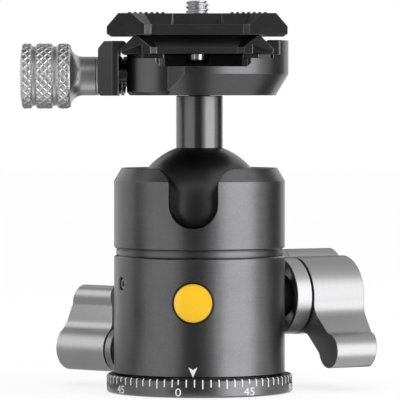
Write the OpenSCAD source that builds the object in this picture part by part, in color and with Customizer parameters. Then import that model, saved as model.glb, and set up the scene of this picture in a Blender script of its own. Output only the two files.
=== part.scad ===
// Ball head for a camera tripod: panning base, drop-notch housing with a
// 37 mm ball, screw-knob clamp and quick-release plate.
// Millimetres, +Z up. The origin is the centre of the base's bottom face.

/* [Panning base] */
// Radius of the scale ring
scale_ring_r = 25.5; // [25:0.1:28]
// Height of the scale ring
scale_ring_h = 4.8; // [4.6:0.1:6]
// Angle at which the scale ring is stored
base_turn = -13; // [-180:1:180]
// Minor radius of the 3/8 inch tripod thread
tripod_thread_r = 3.97; // [3.9:0.01:4.1]
// Depth of the tripod thread
tripod_thread_depth = 10.5; // [8:0.5:11.5]
// Radius of the spindle that the housing turns on
spindle_r = 13.5; // [13:0.1:14.5]
// Height of the spindle above the scale ring
spindle_h = 12; // [11.5:0.1:12.5]
// Depth of the brake groove round the spindle
groove_depth = 1.2; // [0.8:0.1:1.5]

/* [Housing] */
// Radius of the housing
housing_r = 23.45; // [23.2:0.05:25]
// Angle from the front to the badge
housing_turn = -4.3; // [-180:0.1:180]
// Gap between the scale ring and the housing
base_gap = 0.25; // [0.15:0.05:0.4]
// Height of the lower edge of the trim ring
trim_low = 37.35; // [36.9:0.05:38]
// Height of the trim ring
trim_h = 2; // [1.5:0.1:2.5]
// How far the trim ring lies below the surface
trim_inset = 0.6; // [0.4:0.05:1]
// Small chamfer on the housing's edges
edge_chamfer = 0.4; // [0.2:0.05:0.6]
// Height of the rim
rim_z = 61.3; // [60.5:0.1:62.5]
// Height of the chamfer under the rim
rim_chamfer_h = 3.5; // [2.5:0.1:4.5]
// Width of the chamfer under the rim
rim_chamfer_w = 2.05; // [1.5:0.05:3]
// Radius of the opening at the rim
rim_opening_r = 14.8; // [14.6:0.1:15.2]
// Radius of the chamber for the lock
chamber_r = 19.5; // [19.3:0.1:20]
// Half the width of the drop notch
notch_r = 6.7; // [6.6:0.1:7.5]
// Height of the centre of the notch's round floor
notch_z = 51.9; // [51.5:0.1:53]
// Radius of the notch's rounded shoulders
notch_shoulder_r = 4.7; // [3:0.1:5]

/* [Ball and stem] */
// Radius of the ball
ball_r = 18.55; // [18.5:0.05:18.6]
// Height of the ball's centre
ball_z = 49.35; // [49:0.05:49.6]
// Radius of the stem
stem_r = 6.4; // [6:0.1:6.5]
// Height of the stem's top face above the ball
stem_h = 13.25; // [12.5:0.05:14]

/* [Ball lock] */
// Angle from the badge to the lock knob
lock_angle = 125; // [115:1:140]
// Height of the lock knob's axis
lock_z = 25.5; // [25.3:0.1:25.7]
// Radius of the lock knob's hub
lock_hub_r = 10.8; // [10:0.1:12]
// Distance from the axis to the wing's tip centre
lock_wing_at = 23.2; // [21:0.1:26]
// Radius of the wing's tip
lock_wing_r = 4.7; // [4:0.1:5.5]
// Half the thickness of the wing's neck
lock_neck = 3.6; // [3:0.1:4]
// Angle of the wing below the level at rest
lock_wing_drop = 39; // [20:1:60]
// Distance of the knob's inner face from the head's axis
lock_in = 30.5; // [30.2:0.1:32]
// Length of the knob at its hub
lock_len = 16.8; // [14:0.1:20]

/* [Pan lock] */
// Angle from the badge to the pan knob
pan_angle = -125; // [-140:1:-115]
// Height of the pan knob's axis
pan_z = 10.2; // [10:0.1:10.5]
// Radius of the pan knob's hub
pan_hub_r = 6.3; // [6:0.1:7]
// Distance from the axis to the pan wing's tip centre
pan_wing_at = 14.7; // [13:0.1:16]
// Radius of the pan wing's tip
pan_wing_r = 3.05; // [2.6:0.05:3.5]
// Half the thickness of the pan wing's neck
pan_neck = 2.35; // [2:0.05:2.5]
// Distance of the pan knob's inner face from the head's axis
pan_in = 29.6; // [29.4:0.1:31]
// Length of the pan knob at its hub
pan_len = 17.7; // [15:0.1:20]

/* [Guide screw and badge] */
// Angle from the badge to the guide screw
guide_angle = -61; // [-90:1:-45]
// Height of the guide screw
guide_z = 29.9; // [29.7:0.1:30.3]
// Radius of the guide screw's hole
guide_r = 1.65; // [1.5:0.05:1.8]
// Height of the badge's centre
badge_z = 25.3; // [24:0.1:27]
// Radius of the badge
badge_r = 5.45; // [5:0.05:6]

/* [Clamp] */
// Radius of the clamp's round body
clamp_r = 24.4; // [24:0.1:26]
// Thickness of the clamp body under its channel
clamp_floor = 10.1; // [9.9:0.1:11]
// Height of the jaws above the foot of the dovetail's flanks
jaw_over = 2.45; // [2:0.05:2.8]
// How far the body's left face lies inside the dovetail's edge
block_inset = 1.4; // [1:0.1:1.8]
// Half the depth of the clamp body's left block
block_half = 20; // [19.5:0.1:20.5]
// Half the depth of the sliding jaw
jaw_half = 17.5; // [16:0.1:18]
// Half the depth of the fixed jaw
fixed_jaw_half = 10.8; // [9:0.1:13]
// Height of the clamp screw's axis above the clamp's bottom face
clamp_screw_up = 5.3; // [5.2:0.1:5.8]
// Height of the guide pins' axis above the clamp's bottom face
jaw_pin_up = 5.8; // [5.3:0.1:6.3]
// Radius of the guide pins
jaw_pin_r = 2.35; // [2:0.05:2.5]
// Distance of the guide pins from the clamp screw
jaw_pin_at = 11.5; // [10.5:0.1:12.5]
// Radius of the clamp knob
clamp_knob_r = 8.95; // [8:0.05:10]

/* [Quick-release plate] */
// Centre of the plate from the stem's axis
plate_x = -0.6; // [-0.8:0.1:-0.4]
// Width of the dovetail
dovetail_w = 41; // [39.5:0.1:41.4]
// Height of the dovetail's bottom face above the channel floor
dovetail_up = 1.1; // [0.8:0.05:1.4]
// Height of the dovetail's upright sides
dovetail_side = 1.4; // [1.2:0.05:1.8]
// Height of the dovetail's sloping flanks
flank_h = 3.8; // [3.4:0.05:4.4]
// Thickness of the plate above the dovetail
plate_h = 5.7; // [5.2:0.1:7]
// Width of the plate
plate_w = 48.6; // [46:0.1:50]
// Depth of the plate
plate_d = 46; // [42:0.5:50]
// Radius of the camera screw's thread
camera_thread_r = 3.175; // [3.1:0.005:3.2]
// Height of the camera screw above the plate
camera_thread_h = 3.8; // [3.5:0.1:6]

/* [Hidden] */
$fn = 96;

running = 0.05;     // running fit of turning and sliding pairs
air = 0.3;          // gap between pieces that only pass each other
eps = 0.01;

housing_low = scale_ring_h + base_gap;
spindle_top = scale_ring_h + spindle_h;
floor_top = spindle_top - 0.1;
retainer_h = 1.4;
retainer_r = spindle_r + 2.4;
head_h = 1.7;
pocket_top = spindle_top + retainer_h + head_h + air;
track_h = 1.2;
track_top = pocket_top + track_h;
trim_top = trim_low + trim_h;
seat_r = ball_r + running;

lock_screw_r = 3;
lock_shank_r = 4;
wedge_half = 6.5;
wedge_slope = 20;
wedge_high = lock_z + lock_screw_r + 0.6;
cup_low = ball_z - ball_r - 1.35;
cup_top = ball_z - 9;

pan_screw_r = 2.5;
pan_shank_r = 3;
groove_r = spindle_r - groove_depth;

stem_top = ball_z + ball_r + stem_h;
clamp_low = stem_top + running;
channel_z = clamp_low + clamp_floor;
clamp_screw_z = clamp_low + clamp_screw_up;
jaw_pin_z = clamp_low + jaw_pin_up;

dovetail_low = channel_z + dovetail_up;
dovetail_flank = dovetail_low + dovetail_side;
plate_low = dovetail_flank + flank_h;
plate_top = plate_low + plate_h;
fixed_jaw_top = dovetail_flank + jaw_over;
dovetail_half = dovetail_w / 2;
neck_half = dovetail_half - flank_h;   // the flanks lean 45 degrees
plate_right = plate_x + dovetail_half;
plate_left = plate_x - dovetail_half;
clamp_left = plate_left + block_inset;

jaw_right = clamp_left - 2.2;
jaw_thick = 5.6;
jaw_left = jaw_right - jaw_thick;
jaw_low = clamp_low - 0.1;
jaw_top = fixed_jaw_top - 0.35;

// A solid of revolution about Z with small chamfers at its two ends
module turned(r, low, high, c_low = 0, c_high = 0) {
    rotate_extrude()
        polygon([
            [0, low], [r - c_low, low], [r, low + c_low],
            [r, high - c_high], [r - c_high, high], [0, high]
        ]);
}

module drum(r, low, high) {
    translate([0, 0, low]) cylinder(r = r, h = high - low);
}

// Puts the children's Z axis along a radius of the housing, with their X axis down
module radial(angle, z) {
    rotate([0, 0, -90 + housing_turn + angle])
        translate([0, 0, z])
            rotate([0, 90, 0])
                children();
}

// Puts the children's Z axis along +X, with their X axis down
module sideways(y, z) {
    translate([0, y, z]) rotate([0, 90, 0]) children();
}

module around(n, r, start = 0) {
    for (i = [0 : n - 1])
        rotate([0, 0, start + i * 360 / n]) translate([r, 0, 0]) children();
}

// ---- panning base ----

base_screw_r = 1.25;
base_screw_top = pan_z - 2.3;
retaining_screw_at = 9;
bush_r = 7;
bush_flange_r = 8.6;
bush_flange_h = 1.5;
bush_h = tripod_thread_depth + 1.2;
base_screw_at = bush_flange_r + 2 * base_screw_r + 0.4;
glide_r = [15.8, 21.3];
glide_z = scale_ring_h - 0.9;

module base_plate() color([0.16, 0.16, 0.17]) rotate([0, 0, base_turn])
    difference() {
        turned(scale_ring_r, 0, scale_ring_h, edge_chamfer, edge_chamfer);
        drum(bush_r + running, -1, scale_ring_h + 1);
        drum(bush_flange_r + running, -1, bush_flange_h);
        difference() {
            drum(glide_r[1] + running, glide_z, scale_ring_h + 1);
            drum(glide_r[0] - running, glide_z - 1, scale_ring_h + 2);
        }
        around(3, base_screw_at, 60) {
            drum(base_screw_r + 0.15, -1, scale_ring_h + 1);
            translate([0, 0, -eps]) cylinder(r1 = base_screw_r * 2 + 0.2, r2 = base_screw_r, h = 1.7);
        }
    }

module tripod_bush() color([0.72, 0.7, 0.66])
    difference() {
        union() {
            drum(bush_flange_r, 0, bush_flange_h - running);
            drum(bush_r, 0, bush_h);
        }
        drum(tripod_thread_r, -1, tripod_thread_depth);
    }

module spindle() color([0.6, 0.6, 0.62]) rotate([0, 0, base_turn])
    difference() {
        rotate_extrude()
            polygon([
                [0, scale_ring_h], [spindle_r, scale_ring_h],
                [spindle_r, pan_z - 1.8], [groove_r, pan_z - 0.8],
                [groove_r, pan_z + 0.8], [spindle_r, pan_z + 1.8],
                [spindle_r, spindle_top], [0, spindle_top]
            ]);
        drum(bush_r + running, 0, bush_h + running);
        around(3, base_screw_at, 60) drum(base_screw_r + running, 0, base_screw_top + 0.2);
        around(3, retaining_screw_at, 0) drum(base_screw_r + running, spindle_top - 4.4, spindle_top + 1);
    }

module base_screws() color([0.25, 0.25, 0.26]) rotate([0, 0, base_turn])
    around(3, base_screw_at, 60)
        difference() {
            union() {
                translate([0, 0, 0.1]) cylinder(r1 = base_screw_r * 2, r2 = base_screw_r, h = 1.5);
                drum(base_screw_r, 0.1, base_screw_top);
            }
            translate([0, 0, -1]) cylinder(r = 0.95, h = 2.3, $fn = 6);
        }

module glide_ring() color([0.92, 0.91, 0.87])
    difference() {
        drum(glide_r[1], glide_z, housing_low - 0.02);
        drum(glide_r[0], glide_z - 1, housing_low + 1);
    }

module retaining_plate() color([0.62, 0.62, 0.64]) rotate([0, 0, base_turn])
    difference() {
        turned(retainer_r, spindle_top, spindle_top + retainer_h, 0, 0.3);
        drum(4, spindle_top - 1, spindle_top + retainer_h + 1);
        around(3, retaining_screw_at, 0)
            drum(base_screw_r + 0.1, spindle_top - 1, spindle_top + retainer_h + 1);
    }

module retaining_screws() color([0.3, 0.3, 0.31]) rotate([0, 0, base_turn])
    around(3, retaining_screw_at, 0)
        difference() {
            union() {
                turned(2.4, spindle_top + retainer_h, spindle_top + retainer_h + head_h, 0, 0.4);
                drum(base_screw_r, spindle_top - 4, spindle_top + retainer_h + 0.1);
            }
            drum(1.15, spindle_top + retainer_h + 0.6, pocket_top + 1);
        }

// ---- housing ----

shoulder_rise = 0.08;   // the notch's shoulders meet the rim at a slight angle
bush_out_r = 6;
bush_in_r = 5.4;
bush_out = 27.6;
bush_seat = 1;
screw_collar_r = 5;
pan_bush_out_r = 4.3;
pan_bush_in_r = 3.9;
pan_bush_out = 25.6;
pan_bush_seat = 0.6;
pan_bush_low = 17.6;
brake_travel = 0.7;
trim_groove = 0.6;
trim_groove_h = 0.35;
badge_depth = 1.1;
badge_dome_r = 26;
guide_depth = 22.2;

module lower_housing() color([0.2, 0.2, 0.21])
    difference() {
        turned(housing_r, housing_low, trim_low, edge_chamfer, edge_chamfer);
        drum(spindle_r + running, 0, trim_low);
        drum(retainer_r + air, floor_top, trim_low);
        drum(chamber_r, pocket_top, trim_low + 1);
        radial(lock_angle, lock_z) {
            drum(bush_in_r + running, 10, housing_r + 2);
            drum(bush_out_r + running, housing_r - bush_seat, housing_r + 2);
        }
        radial(pan_angle, pan_z) {
            drum(pan_bush_in_r + running, 10, housing_r + 2);
            drum(pan_bush_out_r + running, housing_r - pan_bush_seat, housing_r + 2);
        }
        radial(guide_angle, guide_z) {
            drum(guide_r, 10, housing_r + 2);
            translate([0, 0, housing_r - 0.4]) cylinder(r1 = guide_r - 0.1, r2 = guide_r + 0.9, h = 1);
        }
        radial(0, badge_z) drum(badge_r + 0.25, housing_r - badge_depth - 0.3, housing_r + 2);
    }

// Band between two narrow grooves
module trim_ring() color([0.16, 0.16, 0.17]) {
    outer = housing_r - trim_inset;
    inner = outer - trim_groove;
    rotate_extrude()
        polygon([
            [chamber_r, trim_low], [inner, trim_low], [inner, trim_low + trim_groove_h],
            [outer, trim_low + trim_groove_h], [outer, trim_top - trim_groove_h],
            [inner, trim_top - trim_groove_h], [inner, trim_top], [chamber_r, trim_top]
        ]);
}

// Outline of the drop notch, seen along the radius; its Y axis is up
module notch_outline() {
    shoulder_z = rim_z + shoulder_rise - notch_shoulder_r;
    translate([0, notch_z]) circle(r = notch_r);
    translate([-notch_r, notch_z]) square([2 * notch_r, rim_z - notch_z + 5]);
    difference() {
        translate([-notch_r - notch_shoulder_r, shoulder_z])
            square([2 * (notch_r + notch_shoulder_r), notch_shoulder_r + 5]);
        for (side = [-1, 1])
            translate([side * (notch_r + notch_shoulder_r), shoulder_z]) circle(r = notch_shoulder_r);
    }
}

module upper_housing() color([0.2, 0.2, 0.21])
    difference() {
        rotate_extrude()
            difference() {
                polygon([
                    [chamber_r, trim_top], [housing_r - edge_chamfer, trim_top],
                    [housing_r, trim_top + edge_chamfer], [housing_r, rim_z - rim_chamfer_h],
                    [housing_r - rim_chamfer_w, rim_z], [rim_opening_r, rim_z], [rim_opening_r, ball_z],
                    [seat_r + air, ball_z], [seat_r + air, ball_z - 4], [chamber_r, ball_z - 4]
                ]);
                translate([0, ball_z]) circle(r = seat_r, $fn = 360);
            }
        rotate([0, 0, housing_turn])
            rotate([90, 0, 0])
                linear_extrude(height = housing_r + 5) notch_outline();
    }

module badge_ring() color([0.05, 0.05, 0.05]) radial(0, badge_z)
    difference() {
        turned(badge_r + 0.2, housing_r - badge_depth - 0.3, housing_r - 0.45, 0, 0.1);
        drum(badge_r - 0.25, housing_r - badge_depth, housing_r + 1);
    }

module badge() color([0.96, 0.72, 0.05]) radial(0, badge_z)
    rotate_extrude()
        intersection() {
            translate([0, housing_r - 0.05 - badge_dome_r]) circle(r = badge_dome_r, $fn = 720);
            translate([0, housing_r - badge_depth + eps]) square([badge_r - 0.28, badge_depth]);
        }

module guide_screw() color([0.15, 0.15, 0.15]) radial(guide_angle, guide_z)
    difference() {
        drum(guide_r - running, 17.2, guide_depth);
        translate([0, 0, guide_depth - 1.4]) cylinder(r = 0.85, h = 2, $fn = 6);
    }

module wedge_track() color([0.55, 0.55, 0.57])
    difference() {
        drum(chamber_r - running, pocket_top, track_top);
        drum(3, pocket_top - 1, track_top + 1);
        radial(lock_angle, lock_z) drum(bush_in_r + air, 16, 21);
    }

module lock_bush() color([0.1, 0.1, 0.1]) radial(lock_angle, lock_z)
    difference() {
        union() {
            drum(bush_in_r, chamber_r - 0.6, housing_r);
            turned(bush_out_r, housing_r - bush_seat, bush_out, 0, 0.8);
        }
        drum(lock_shank_r + running, 10, 40);
    }

module pan_bush() color([0.1, 0.1, 0.1]) radial(pan_angle, pan_z)
    difference() {
        union() {
            drum(pan_bush_in_r, pan_bush_low, housing_r);
            turned(pan_bush_out_r, housing_r - pan_bush_seat, pan_bush_out, 0, 0.6);
        }
        drum(pan_shank_r + running, 10, 40);
    }

// ---- ball lock ----

skirt_r = 16.2;
cup_play = 0.4;     // room above the guide screw, so that the cup can drop
wedge_out = 12;
wedge_in = -11;
ramp_at = 1.5;

// Side view of the ramp: X outward along the lock screw, Y up
module ramp(lift, high) {
    polygon([
        [wedge_in, wedge_high + lift + (wedge_in - ramp_at) * tan(wedge_slope)],
        [ramp_at, wedge_high + lift], [ramp_at, high], [wedge_in, high]
    ]);
}

module along_lock() {
    rotate([0, 0, -90 + housing_turn + lock_angle]) children();
}

module lock_wedge() color([0.5, 0.5, 0.52]) {
    low = track_top + running;
    difference() {
        along_lock()
            translate([0, wedge_half, 0])
                rotate([90, 0, 0])
                    linear_extrude(height = 2 * wedge_half)
                        polygon([
                            [wedge_in, low], [wedge_out, low], [wedge_out, wedge_high], [ramp_at, wedge_high],
                            [wedge_in, wedge_high + (wedge_in - ramp_at) * tan(wedge_slope)]
                        ]);
        radial(lock_angle, lock_z) drum(lock_screw_r + running, ramp_at + 1, 20);
    }
}

module lift_block() color([0.62, 0.58, 0.45])
    along_lock()
        translate([0, wedge_half, 0])
            rotate([90, 0, 0])
                linear_extrude(height = 2 * wedge_half)
                    intersection() {
                        ramp(running, cup_low);
                        translate([wedge_in, 0]) square([ramp_at - wedge_in - 1.6, 100]);
                    }

module ball_cup() color([0.85, 0.85, 0.82])
    difference() {
        rotate_extrude()
            polygon([
                [5, cup_low], [skirt_r, cup_low], [skirt_r, cup_low - 1.4], [chamber_r - 1, cup_low - 1.4],
                [chamber_r - 1, cup_top], [8, cup_top], [5, cup_low + 2]
            ]);
        translate([0, 0, ball_z]) sphere(r = seat_r);
        radial(guide_angle, guide_z + cup_play) {
            drum(guide_r + running, skirt_r - 1, chamber_r);
            translate([0, -guide_r - running, skirt_r - 1])
                cube([10, 2 * (guide_r + running), chamber_r - skirt_r + 1]);
        }
        radial(lock_angle, lock_z) drum(screw_collar_r + 0.8, skirt_r - 1, chamber_r);
    }

module lock_screw() color([0.7, 0.7, 0.72]) radial(lock_angle, lock_z)
    union() {
        drum(lock_screw_r, ramp_at + 3, 17.2);
        turned(screw_collar_r, 17, chamber_r - 0.6 - running, 0.2, 0.2);
        drum(lock_shank_r, 18.5, lock_in + knob_bore_depth);
    }

collar_r = 10.7;
collar_in = 25.2;
collar_out = 30.1;
collar_wall = 1;
collar_floor = 0.9;

module lock_collar() color([0.74, 0.74, 0.75]) radial(lock_angle, lock_z)
    difference() {
        turned(collar_r, collar_in, collar_out, 0.15, 0.3);
        drum(collar_r - collar_wall, collar_in - 1, collar_out - collar_floor);
        drum(lock_shank_r, collar_in, collar_out + 1);
    }

// Where a fillet of radius f meets the neck, for a disc of radius r
function fillet_at(r, neck, f) = sqrt(pow(r + f, 2) - pow(neck + f, 2));

// The fillets reach this far into the hub and the tip, so that the three join cleanly
bite = 0.004;

// Hub, neck and round tip of a wing knob, with concave fillets where they meet
module wing_blank(length, hub, tip, at, neck, hub_fillet, tip_fillet) {
    a = fillet_at(hub, neck, hub_fillet);
    b = at - fillet_at(tip, neck, tip_fillet);
    cylinder(r = hub, h = length);
    translate([at, 0, 0]) cylinder(r = tip, h = length);
    linear_extrude(height = length)
        difference() {
            polygon([
                [0, 0], [a, neck + hub_fillet], [a, neck], [b, neck], [b, neck + tip_fillet], [at, 0],
                [b, -neck - tip_fillet], [b, -neck], [a, -neck], [a, -neck - hub_fillet]
            ]);
            for (side = [-1, 1]) {
                translate([a, side * (neck + hub_fillet)]) circle(r = hub_fillet + bite);
                translate([b, side * (neck + tip_fillet)]) circle(r = tip_fillet + bite);
            }
        }
}

// The space that a knob's end may fill: level over the hub, then falling to the wing's tip
module knob_end(hub, reach, long, short) {
    rotate_extrude()
        polygon([
            [0, 0], [reach + 1, 0], [reach + 1, short - (long - short) / (reach - hub)],
            [hub, long - 0.4], [hub - 1.6, long], [0, long]
        ]);
}

lock_short_at = 10;
lock_short_turn = 194;
lock_tip_len = 12.6;
knob_bore_depth = 9;

module lock_knob() color([0.78, 0.78, 0.79]) radial(lock_angle, lock_z)
    translate([0, 0, lock_in])
        rotate([0, 0, lock_wing_drop - 90])
            difference() {
                intersection() {
                    union() {
                        wing_blank(lock_len + 1, lock_hub_r, lock_wing_r, lock_wing_at, lock_neck, 5, 3);
                        rotate([0, 0, lock_short_turn])
                            translate([lock_short_at, 0, 0]) cylinder(r = lock_wing_r, h = lock_len + 1);
                    }
                    knob_end(lock_hub_r, lock_wing_at + lock_wing_r, lock_len, lock_tip_len);
                }
                drum(lock_shank_r + eps, -1, knob_bore_depth + eps);
            }

// ---- pan lock ----

module pan_shoe() color([0.9, 0.89, 0.84]) radial(pan_angle, pan_z)
    intersection() {
        difference() {
            drum(pan_bush_in_r, groove_r - 1, pan_bush_low - brake_travel);
            drum(pan_screw_r + running, groove_r + 2, 20);
        }
        rotate([0, -90, 0])
            rotate_extrude()
                polygon([
                    [groove_r + running, -0.7], [spindle_r + 0.1, -1.7], [spindle_r + 0.1, -5],
                    [20, -5], [20, 5], [spindle_r + 0.1, 5], [spindle_r + 0.1, 1.7], [groove_r + running, 0.7]
                ]);
    }

module pan_screw() color([0.7, 0.7, 0.72]) radial(pan_angle, pan_z)
    union() {
        drum(pan_screw_r, groove_r + 2.5, pan_bush_low - 0.2);
        drum(pan_bush_in_r - 0.2, pan_bush_low - 0.25, pan_bush_low - running);
        drum(pan_shank_r, pan_bush_low - 0.1, pan_in + knob_bore_depth);
    }

pan_collar_r = pan_hub_r + 0.2;
pan_collar_in = 26.7;
pan_collar_out = pan_in - 0.6;

module pan_collar() color([0.74, 0.74, 0.75]) radial(pan_angle, pan_z)
    difference() {
        turned(pan_collar_r, pan_collar_in, pan_collar_out, 0.15, 0.25);
        drum(pan_collar_r - 0.8, pan_collar_in - 1, pan_collar_out - 0.8);
        drum(pan_shank_r, pan_collar_in, pan_collar_out + 1);
    }

pan_tip_len = 12.4;

module pan_knob() color([0.78, 0.78, 0.79]) radial(pan_angle, pan_z)
    translate([0, 0, pan_in])
        rotate([0, 0, 180])
            difference() {
                intersection() {
                    wing_blank(pan_len + 1, pan_hub_r, pan_wing_r, pan_wing_at, pan_neck, 3.2, 2);
                    knob_end(pan_hub_r, pan_wing_at + pan_wing_r, pan_len, pan_tip_len);
                }
                drum(pan_shank_r + eps, -1, knob_bore_depth + eps);
            }

// ---- ball and stem ----

stem_bore_r = 3;

module ball() color([0.1, 0.1, 0.1])
    translate([0, 0, ball_z]) sphere(r = ball_r);

module stem() color([0.12, 0.12, 0.12])
    difference() {
        turned(stem_r, ball_z + ball_r - 3, stem_top, 0, 0.2);
        translate([0, 0, ball_z]) sphere(r = seat_r);
        drum(stem_bore_r + running, stem_top - 9.5, stem_top + 1);
    }

// ---- clamp ----

bevel_z = clamp_low + 6;
bevel_w = 3.5;
block_corner_r = 13;
block_chamfer = 0.9;
step_left = -8.5;
step_slope = 1.1;
floor_z = dovetail_low - running;   // raised floor that the dovetail slides on
floor_half = 17.5;
recess_x = 1.05;
recess_z = channel_z - 2.3;
recess_half = 10.3;
recess_facet = 1.6;
recess_back = 12;
mouth_half = 12.8;
mouth_y = block_half - 1.4;
bolt_r = 3;
bolt_head_r = 5.6;
bolt_head_h = 3.3;
spring_hole_r = 5.5;
spring_hole_depth = 3.6;
jaw_screw_r = 3;
jaw_screw_depth = 8.2;
jaw_pin_depth = 7.6;
fixed_lip = 1.4;    // how far the fixed jaw reaches over the dovetail's flank
jaw_lip = 0.7;      // the same for the sliding jaw

// The round body, cut off on its left by two slanted steps that cross the circle
module disc_plan() {
    far = clamp_r + 2;
    run = (far - block_half) * step_slope;
    intersection() {
        circle(r = clamp_r);
        polygon([
            [step_left, -block_half], [step_left + run, -far], [far, -far],
            [far, far], [step_left + run, far], [step_left, block_half]
        ]);
    }
}

// The left block: broad round corners cut off flat on the left, and chamfered at the bottom
module clamp_block(low, high, chamfer) {
    corner = block_corner_r;
    x = step_left;
    y = block_half - corner;
    intersection() {
        union() {
            for (side = [-1, 1])
                translate([x, side * y, 0]) turned(corner, low, high, chamfer, 0);
            translate([x - corner, -y, low]) cube([corner, 2 * y, high - low]);
            translate([x, 0, 0])
                rotate([90, 0, 90])
                    linear_extrude(height = -x)
                        polygon([
                            [chamfer - block_half, low], [block_half - chamfer, low], [block_half, low + chamfer],
                            [block_half, high], [-block_half, high], [-block_half, low + chamfer]
                        ]);
        }
        rotate([90, 0, 0])
            linear_extrude(height = 2 * block_half + 2, center = true)
                polygon([
                    [clamp_left + chamfer + 1, low - 1], [1, low - 1], [1, high + 1],
                    [clamp_left, high + 1], [clamp_left, low + chamfer]
                ]);
    }
}

// The fixed jaw seen from above: square ends with a small chamfer
module jaw_plan() {
    x = sqrt(pow(clamp_r, 2) - pow(fixed_jaw_half, 2)) - 0.25;
    intersection() {
        circle(r = clamp_r);
        polygon([
            [0, -fixed_jaw_half], [x, -fixed_jaw_half], [x + 3, 3 - fixed_jaw_half],
            [x + 3, fixed_jaw_half - 3], [x, fixed_jaw_half], [0, fixed_jaw_half]
        ]);
    }
}

module clamp_base() color([0.11, 0.11, 0.115])
    difference() {
        union() {
            difference() {
                intersection() {
                    union() {
                        translate([0, 0, clamp_low]) linear_extrude(height = floor_z - clamp_low) disc_plan();
                        translate([0, 0, floor_z - 1])
                            linear_extrude(height = fixed_jaw_top - floor_z + 1) jaw_plan();
                    }
                    rotate_extrude()
                        polygon([
                            [0, clamp_low], [clamp_r - bevel_w, clamp_low], [clamp_r + 0.1, bevel_z],
                            [clamp_r + 0.1, fixed_jaw_top - 0.3], [clamp_r - 0.4, fixed_jaw_top + 0.2],
                            [0, fixed_jaw_top + 0.2]
                        ]);
                }
                channel();
            }
            clamp_block(clamp_low, channel_z, block_chamfer);
            translate([0, 0, channel_z - 1]) linear_extrude(height = floor_z - channel_z + 1) floor_plan();
        }
        recess();
        drum(bolt_r + running, clamp_low - 1, recess_z + 1);
        drum(bolt_head_r + 0.2, recess_z - bolt_head_h, recess_z + 1);
        sideways(0, clamp_screw_z) drum(jaw_screw_r + running, clamp_left - 1, clamp_left + jaw_screw_depth + 0.5);
        for (side = [-1, 1])
            sideways(side * jaw_pin_at, jaw_pin_z)
                drum(jaw_pin_r + running, clamp_left - 1, clamp_left + jaw_pin_depth + 1);
    }

// Channel for the dovetail; its right wall is the fixed jaw's undercut
module channel() {
    far = clamp_r + 5;
    wall = plate_right + running;
    rotate([90, 0, 0])
        linear_extrude(height = 2 * far, center = true)
            polygon([
                [-far, channel_z], [wall, channel_z], [wall, dovetail_flank + running],
                [wall - fixed_lip, dovetail_flank + running + fixed_lip],
                [wall - fixed_lip, fixed_jaw_top + 5], [-far, fixed_jaw_top + 5]
            ]);
}

module floor_plan() {
    wall = plate_right + running + eps;
    polygon([
        [clamp_left, -floor_half + 4.2], [clamp_left + 4.4, -floor_half], [wall - 4, -floor_half],
        [wall, -floor_half + 4.2], [wall, floor_half - 4.2], [wall - 4, floor_half],
        [clamp_left + 4.4, floor_half], [clamp_left, floor_half - 4.2]
    ]);
}

// Pocket in the channel floor, open to the front through a wider mouth with 45 degree facets
module recess() {
    wide = recess_half + recess_facet;
    translate([recess_x, 0, recess_z])
        linear_extrude(height = 8)
            polygon([
                [-recess_half, recess_back], [-recess_half, recess_facet - mouth_y], [-wide, -mouth_y],
                [-wide, -mouth_y - 0.5], [wide, -mouth_y - 0.5], [wide, -mouth_y],
                [recess_half, recess_facet - mouth_y], [recess_half, recess_back]
            ]);
    translate([recess_x, -mouth_y, recess_z])
        rotate([90, 0, 0])
            linear_extrude(height = 10)
                polygon([
                    [-mouth_half + 1, 0], [mouth_half - 1, 0], [mouth_half, 1],
                    [mouth_half, 8], [-mouth_half, 8], [-mouth_half, 1]
                ]);
}

module clamp_bolt() color([0.28, 0.28, 0.29])
    difference() {
        union() {
            turned(bolt_head_r, recess_z - bolt_head_h + 0.02, recess_z - 0.2, 0, 0.4);
            drum(bolt_r, stem_top - 8.8, recess_z - bolt_head_h + 0.5);
        }
        translate([0, 0, recess_z - 2.2]) cylinder(r = 2.3, h = 3, $fn = 6);
    }

jaw_edge = 3.9;
jaw_tip_x = plate_left - running + jaw_lip;
jaw_tip_z = dovetail_flank + running + jaw_lip;

// The jaw's right side leans over the dovetail's flank at 45 degrees
module clamp_jaw() color([0.12, 0.12, 0.125])
    difference() {
        intersection() {
            rotate([90, 0, 0])
                linear_extrude(height = 2 * jaw_half, center = true)
                    polygon([
                        [jaw_left + 0.7, jaw_low], [jaw_right - 0.5, jaw_low], [jaw_right, jaw_low + 0.5],
                        [jaw_right, jaw_tip_z - (jaw_tip_x - jaw_right)], [jaw_tip_x, jaw_tip_z],
                        [jaw_tip_x, jaw_top], [jaw_left + 1.7, jaw_top],
                        [jaw_left, jaw_top - 2], [jaw_left, jaw_low + 0.7]
                    ]);
            translate([0, 0, jaw_low - 1])
                linear_extrude(height = jaw_top - jaw_low + 2)
                    polygon([
                        [jaw_left, jaw_half - jaw_edge], [jaw_left, jaw_edge - jaw_half],
                        [jaw_left + jaw_edge, -jaw_half], [0, -jaw_half], [0, jaw_half],
                        [jaw_left + jaw_edge, jaw_half]
                    ]);
        }
        sideways(0, clamp_screw_z) {
            drum(jaw_screw_r + running, jaw_left - 1, jaw_right + 1);
            drum(spring_hole_r + 0.1, jaw_right - spring_hole_depth, jaw_right + 1);
        }
        for (side = [-1, 1])
            sideways(side * jaw_pin_at, jaw_pin_z) drum(jaw_pin_r, jaw_right - 4, jaw_right + 1);
    }

module jaw_pins() color([0.2, 0.2, 0.2])
    for (side = [-1, 1])
        sideways(side * jaw_pin_at, jaw_pin_z) turned(jaw_pin_r, jaw_right - 4, clamp_left + jaw_pin_depth, 0, 0.4);

// Compression spring round the clamp screw, a helix of round wire
spring_wire_r = 0.6;
spring_turns = 3.5;
spring_steps = 20;
spring_sides = 8;

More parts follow.
